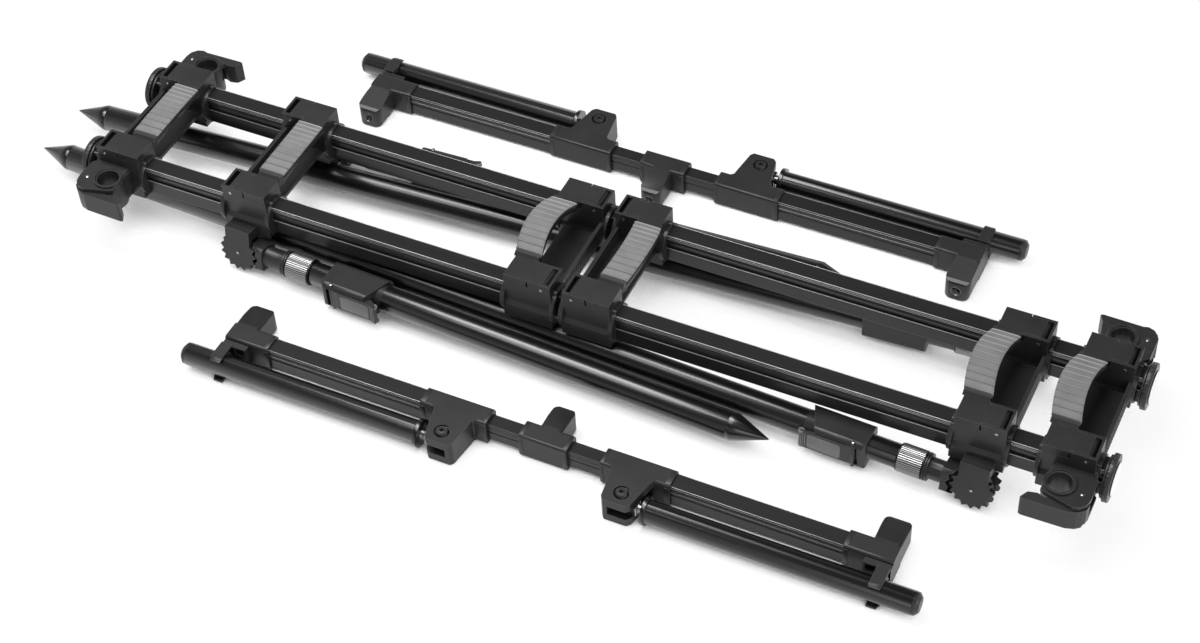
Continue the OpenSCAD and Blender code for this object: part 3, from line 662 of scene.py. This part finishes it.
def rail_lines(end):
    """Fine pale ridges along the upper edges and the waist of both rails, painted as highlights, and the
    round rib between.
    """
    way = 1 if end == "right" else -1
    low, high = sorted((way * 3.0, way * (RAIL_OUT - 0.3)))
    lines = Build(PLACED)
    for side in EACH_SIDE:
        for face in EACH_SIDE:
            for y, z in ((7.05, 62.95), (7.25, 61.4), (6.6, 59.0), (7.5, 49.3)):
                middle = side * RAIL_Y + face * y
                lines.block((low, middle - 0.3, z - 0.3), (high, middle + 0.3, z + 0.3), 0.1)
    lines.piece("rail_ridges_" + end, end + "_frame", PAINTED_HIGHLIGHT)
    ribs = Build(PLACED)
    for side in EACH_SIDE:
        for face in EACH_SIDE:
            middle = side * RAIL_Y + face * 5.3
            ribs.rod((low, middle, 55.6), (high, middle, 55.6), 2.25, sides=28)
    ribs.piece("rail_ribs_" + end, end + "_frame", ANODISED)


def arm_lines(which, end):
    """Fine pale ridges along both sides of an arm's profile, painted as highlights."""
    lines = Build(at_half(which, end))
    for face in EACH_SIDE:
        for y, z in ((6.9, 22.0), (7.3, 20.6), (7.3, 15.9)):
            lines.block((109, face * y - 0.2, z - 0.2), (251, face * y + 0.2, z + 0.2), 0.08)
    lines.piece(f"arm_ridges_{which}_{end}", f"{which}_bar_{end}_arm", PAINTED_HIGHLIGHT)


def insert(x, body, name, at):
    """Turned metal insert with its thread, in a threaded end."""
    ring = Build(at)
    mouth = move(x, -36.55, HOLE_Z) @ turn(90, "Z")
    profile = [(0.05, 4.9), (-0.15, 4.75), (-0.2, 4.35), (0.3, 4.12)]
    for k in range(12):
        profile += [(0.6 + k * 0.9, 4.12), (1.05 + k * 0.9, 3.72)]
    profile += [(11.6, 4.12), (11.6, 4.9), (0.05, 4.9)]
    ring.turned(profile, 48, mouth)
    ring.piece("thread_insert_" + name, body, DARK_STEEL, 20)


def bolt_head(which, end):
    """Domed button head around its hexagon socket."""
    head = Build(at_half(which, end))
    head.turned([(0, 5.75), (0.5, 5.7), (1.5, 5.2), (2.3, 4.3), (2.85, 3.1), (2.95, 2.35), (2.0, 2.3),
                 (0, 2.3), (0, 5.75)], 48, move(BOLT_X, POST_OFF, BAR_H - 1.75) @ turn(-90, "Y"))
    head.turned([(0, 6.0), (0.25, 6.0), (0.35, 6.35), (0.25, 6.75), (0, 6.75), (0, 6.0)], 48,
                move(BOLT_X, POST_OFF, BAR_H - 1.8) @ turn(-90, "Y"))
    head.piece(f"bolt_head_{which}_{end}", f"{which}_bar_{end}_arm", BLACKENED)


def bar_step(build, low, high):
    """Raised band on the top and both sides of a bar's moulding."""
    for y in EACH_SIDE:
        build.block((low, y * 9.0 - 0.35, 3.0), (high, y * 9.0 + 0.35, BAR_H - 3.0), 0.25)
    build.block((low, -7.0, BAR_H - 0.35), (high, 7.0, BAR_H + 0.35), 0.25)


def ear_rims(which, end):
    """Raised rim on the upper ear of a bracket, and steps at the ends of the arm's mouldings."""
    rims = Build(at_half(which, end))
    outline = [(61.2, 9.4), (64.7, POST_OFF + 8.3), (67.1, POST_OFF + 11.4), (85.9, POST_OFF + 11.4),
               (88.8, POST_OFF + 8.3), (94.8, 9.4)]
    rims.slab(round_corners(outline, 1.2), BAR_H - 0.2, BAR_H + 0.8, 0.2, rim=1.3)
    for low, high in ((104.6, 109.2), (250.8, 255.0), (49.8, 52.6)):
        bar_step(rims, low, high)
    rims.piece(f"bracket_rims_{which}_{end}", f"{which}_bar_{end}_arm", CHARCOAL)


def core_bands(which):
    """Steps at both ends of the sleeve in the middle of a bar."""
    bands = Build(at_bar(which))
    for way in EACH_SIDE:
        bar_step(bands, *sorted((way * 17.4, way * 21.0)))
    bands.piece("sleeve_bands_" + which, which + "_bar", CHARCOAL)


def post_thread(which, end):
    """Bright threaded stud between the eye and the collar of a post."""
    stud = Build(at_half(which, end) @ move(BOLT_X, POST_OFF, BAR_H / 2))
    profile = [(13.3, 3.6)]
    for k in range(6):
        profile += [(13.6 + k * 0.9, 3.75), (14.05 + k * 0.9, 4.25)]
    profile += [(18.9, 3.75), (18.9, 3.6)]
    stud.turned(profile, 40)
    stud.piece(f"post_stud_{which}_{end}", f"{which}_{end}_post", STEEL, 20)


for i in range(6):
    ribbed_grip(i)
    lever_pins(i)
    wall_ribs(i)
for i in (0, 5):
    socket_pins(i)
    socket_rims(i)
for i in range(4):
    hub_pin(i)
    knurled_ring(i)
    lock_pad(i)
    lock_pins(i)
for end in ("left", "right"):
    rail_lines(end)
    for side in EACH_SIDE:
        end_cap(end, side)
for which in ("near", "far"):
    insert(0, which + "_bar", which + "_centre", at_bar(which))
    core_bands(which)
    for end in ("left", "right"):
        insert(BAR_END, f"{which}_bar_{end}_arm", f"{which}_{end}", at_half(which, end))
        bolt_head(which, end)
        ear_rims(which, end)
        arm_lines(which, end)
        post_thread(which, end)

# Floor, light and camera

# The floor's size and height, and how far its shadows reach, in metres
FLOOR_SIZE = 14.0
FLOOR_Z = -0.0006
SHADOW_REACH = 0.06

# Name, place, aim and size in metres, and power in watts
LAMPS = (
    ("overhead", (-0.55, 0.1, 1.7), (-0.55, 0.1, 0.0), (1.8, 0.6), 40.0),
    ("toward_camera", (-0.6, -0.6, 1.7), (-0.6, 0.0, 0.0), (1.7, 0.5), 12.0),
    ("front", (1.3, -1.5, 1.0), (0.0, 0.0, 0.0), (1.2, 1.0), 8.0),
    ("right", (1.7, -0.2, 0.5), (0.3, 0.0, 0.0), (0.9, 0.7), 9.0),
)

# The camera's place in millimetres, its azimuth, elevation and roll in degrees, and its lens
CAMERA_AT = (630.46, -1163.81, 1384.03)
CAMERA_ANGLES = (28.239, 46.683, -3.757)
PHOTO_WIDTH = 1200
FOCAL_PIXELS = 2286.507
SENSOR_WIDTH = 36.0


def seen_directly(n):
    """1 for the rays that show a thing to the camera, straight or in a mirror."""
    path = n.tree.nodes.new("ShaderNodeLightPath").outputs
    seen = [Value(n, path[kind]) for kind in ("Is Camera Ray", "Is Glossy Ray", "Is Transmission Ray")]
    return (seen[0] + seen[1] + seen[2]).maths("MINIMUM", 1.0)


def studio():
    """A pale surrounding with two long lamps overhead and two weak ones.

    The floor keeps the contact shadows. The camera looks through the rest of it onto the white
    below, so that legs which are folded out stay in view.
    """
    bpy.ops.mesh.primitive_plane_add(size=FLOOR_SIZE, location=(0, 0, FLOOR_Z))
    floor = bpy.context.object
    floor.name = "floor"
    n = Nodes("white_floor")
    open_sky = n.add("ShaderNodeAmbientOcclusion", {"samples": 8}, {"Distance": SHADOW_REACH}, "AO")
    share = seen_directly(n) * n.ramp(open_sky, 0.2, 0.55) * 0.9
    matt = n.add("ShaderNodeBsdfPrincipled", {}, {"Base Color": (0.93, 0.93, 0.93, 1), "Roughness": 0.9,
                                                  "Specular IOR Level": 0.0}, "BSDF")
    clear = n.add("ShaderNodeBsdfTransparent", out="BSDF")
    floor_shader = n.add("ShaderNodeMixShader", {}, {0: share, 1: matt, 2: clear}, "Shader")
    n.tree.links.new(floor_shader.socket, n.tree.nodes.new("ShaderNodeOutputMaterial").inputs["Surface"])
    floor.data.materials.append(n.material)
    world = bpy.data.worlds.new("surrounding")
    bpy.context.scene.world = world
    w = Nodes("surrounding", world)
    way = w.add("ShaderNodeTexCoord", out="Generated")
    height = w.add("ShaderNodeSeparateXYZ", {}, {"Vector": way}, "Z")
    glow = 0.6 - w.ramp(height, 0.3, 0.6) * 0.54
    white = seen_directly(w) * height.below(0.0)
    sky = w.add("ShaderNodeBackground", {}, {
        "Color": (1, 1, 1, 1), "Strength": glow * (1 - white) + white}, "Background")
    w.tree.links.new(sky.socket, w.tree.nodes.new("ShaderNodeOutputWorld").inputs["Surface"])
    for name, place, aim, size, power in LAMPS:
        light = bpy.data.lights.new(name, "AREA")
        light.shape = "RECTANGLE"
        light.size, light.size_y = size
        light.energy = power
        lamp = bpy.data.objects.new(name, light)
        lamp.location = place
        lamp.rotation_euler = (Vector(place) - Vector(aim)).to_track_quat("Z", "Y").to_euler()
        bpy.context.scene.collection.objects.link(lamp)


def camera():
    """The photograph's viewpoint: a long lens from above the near right."""
    lens = bpy.data.cameras.new("camera")
    lens.sensor_width = SENSOR_WIDTH
    lens.lens = SENSOR_WIDTH * FOCAL_PIXELS / PHOTO_WIDTH
    cam = bpy.data.objects.new("camera", lens)
    azimuth, elevation, roll = map(math.radians, CAMERA_ANGLES)
    back = Vector((math.sin(azimuth) * math.cos(elevation), -math.cos(azimuth) * math.cos(elevation),
                   math.sin(elevation)))
    cam.rotation_mode = "QUATERNION"
    level = (-back).to_track_quat("-Z", "Y")
    cam.rotation_quaternion = level @ Matrix.Rotation(roll, 3, "Z").to_quaternion()
    cam.location = Vector(CAMERA_AT) * MM + Vector((SHIFT, 0, 0))
    bpy.context.scene.collection.objects.link(cam)
    bpy.context.scene.camera = cam


studio()
camera()
bpy.context.scene.view_settings.view_transform = "Standard"
